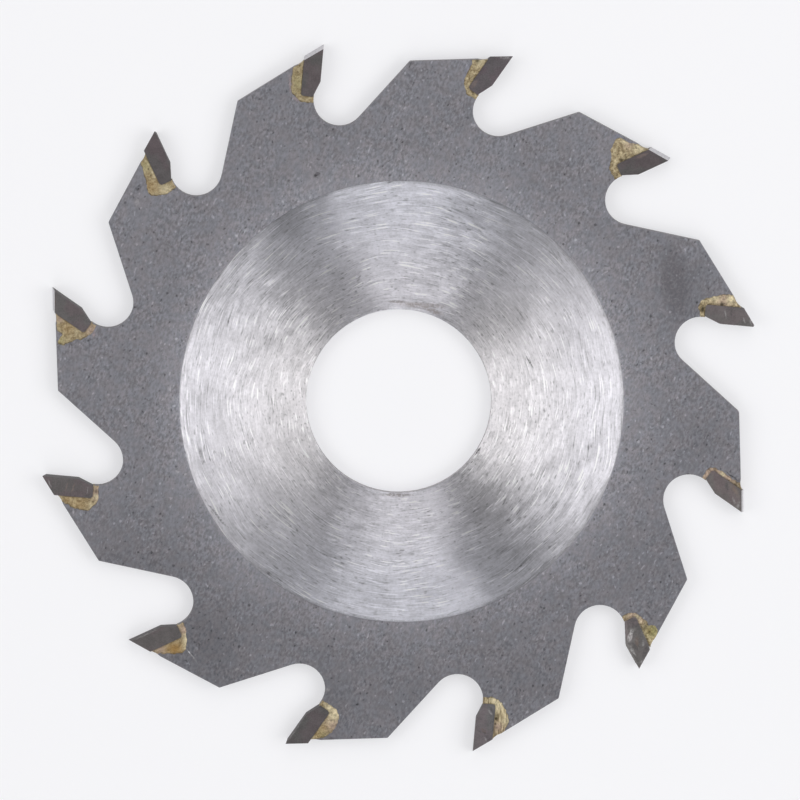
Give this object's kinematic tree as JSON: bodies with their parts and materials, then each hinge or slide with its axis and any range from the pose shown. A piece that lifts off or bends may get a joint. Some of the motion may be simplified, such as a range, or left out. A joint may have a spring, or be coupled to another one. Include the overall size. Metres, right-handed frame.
{
  "type": "circular saw blade",
  "caption": "Flat round saw blade with brazed carbide teeth, deep round gullets, a ground hub ring and a large plain bore.",
  "frame": {"origin": "centre of the bore, on the middle plane of the plate", "axes": "+Z along the bore, out of the face that lies up; +X to the right and +Y to the top, as the picture shows the blade"},
  "size_m": [0.0978, 0.0978, 0.0026],
  "materials": {
    "plate_steel": "dark matt steel, with a ring ground bright in circles round the bore",
    "carbide": "sintered and ground, dark warm grey, satin",
    "braze": "dull gold, lumpy and pitted"
  },
  "bodies": {
    "root": {"blade_body": "plate_steel", "carbide_tip_01": "carbide", "carbide_tip_02": "carbide", "carbide_tip_03": "carbide", "carbide_tip_04": "carbide", "carbide_tip_05": "carbide", "carbide_tip_06": "carbide", "carbide_tip_07": "carbide", "carbide_tip_08": "carbide", "carbide_tip_09": "carbide", "carbide_tip_10": "carbide", "carbide_tip_11": "carbide", "carbide_tip_12": "carbide", "braze_seam_01": "braze", "braze_seam_02": "braze", "braze_seam_03": "braze", "braze_seam_04": "braze", "braze_seam_05": "braze", "braze_seam_06": "braze", "braze_seam_07": "braze", "braze_seam_08": "braze", "braze_seam_09": "braze", "braze_seam_10": "braze", "braze_seam_11": "braze", "braze_seam_12": "braze"}
  },
  "joints": []
}
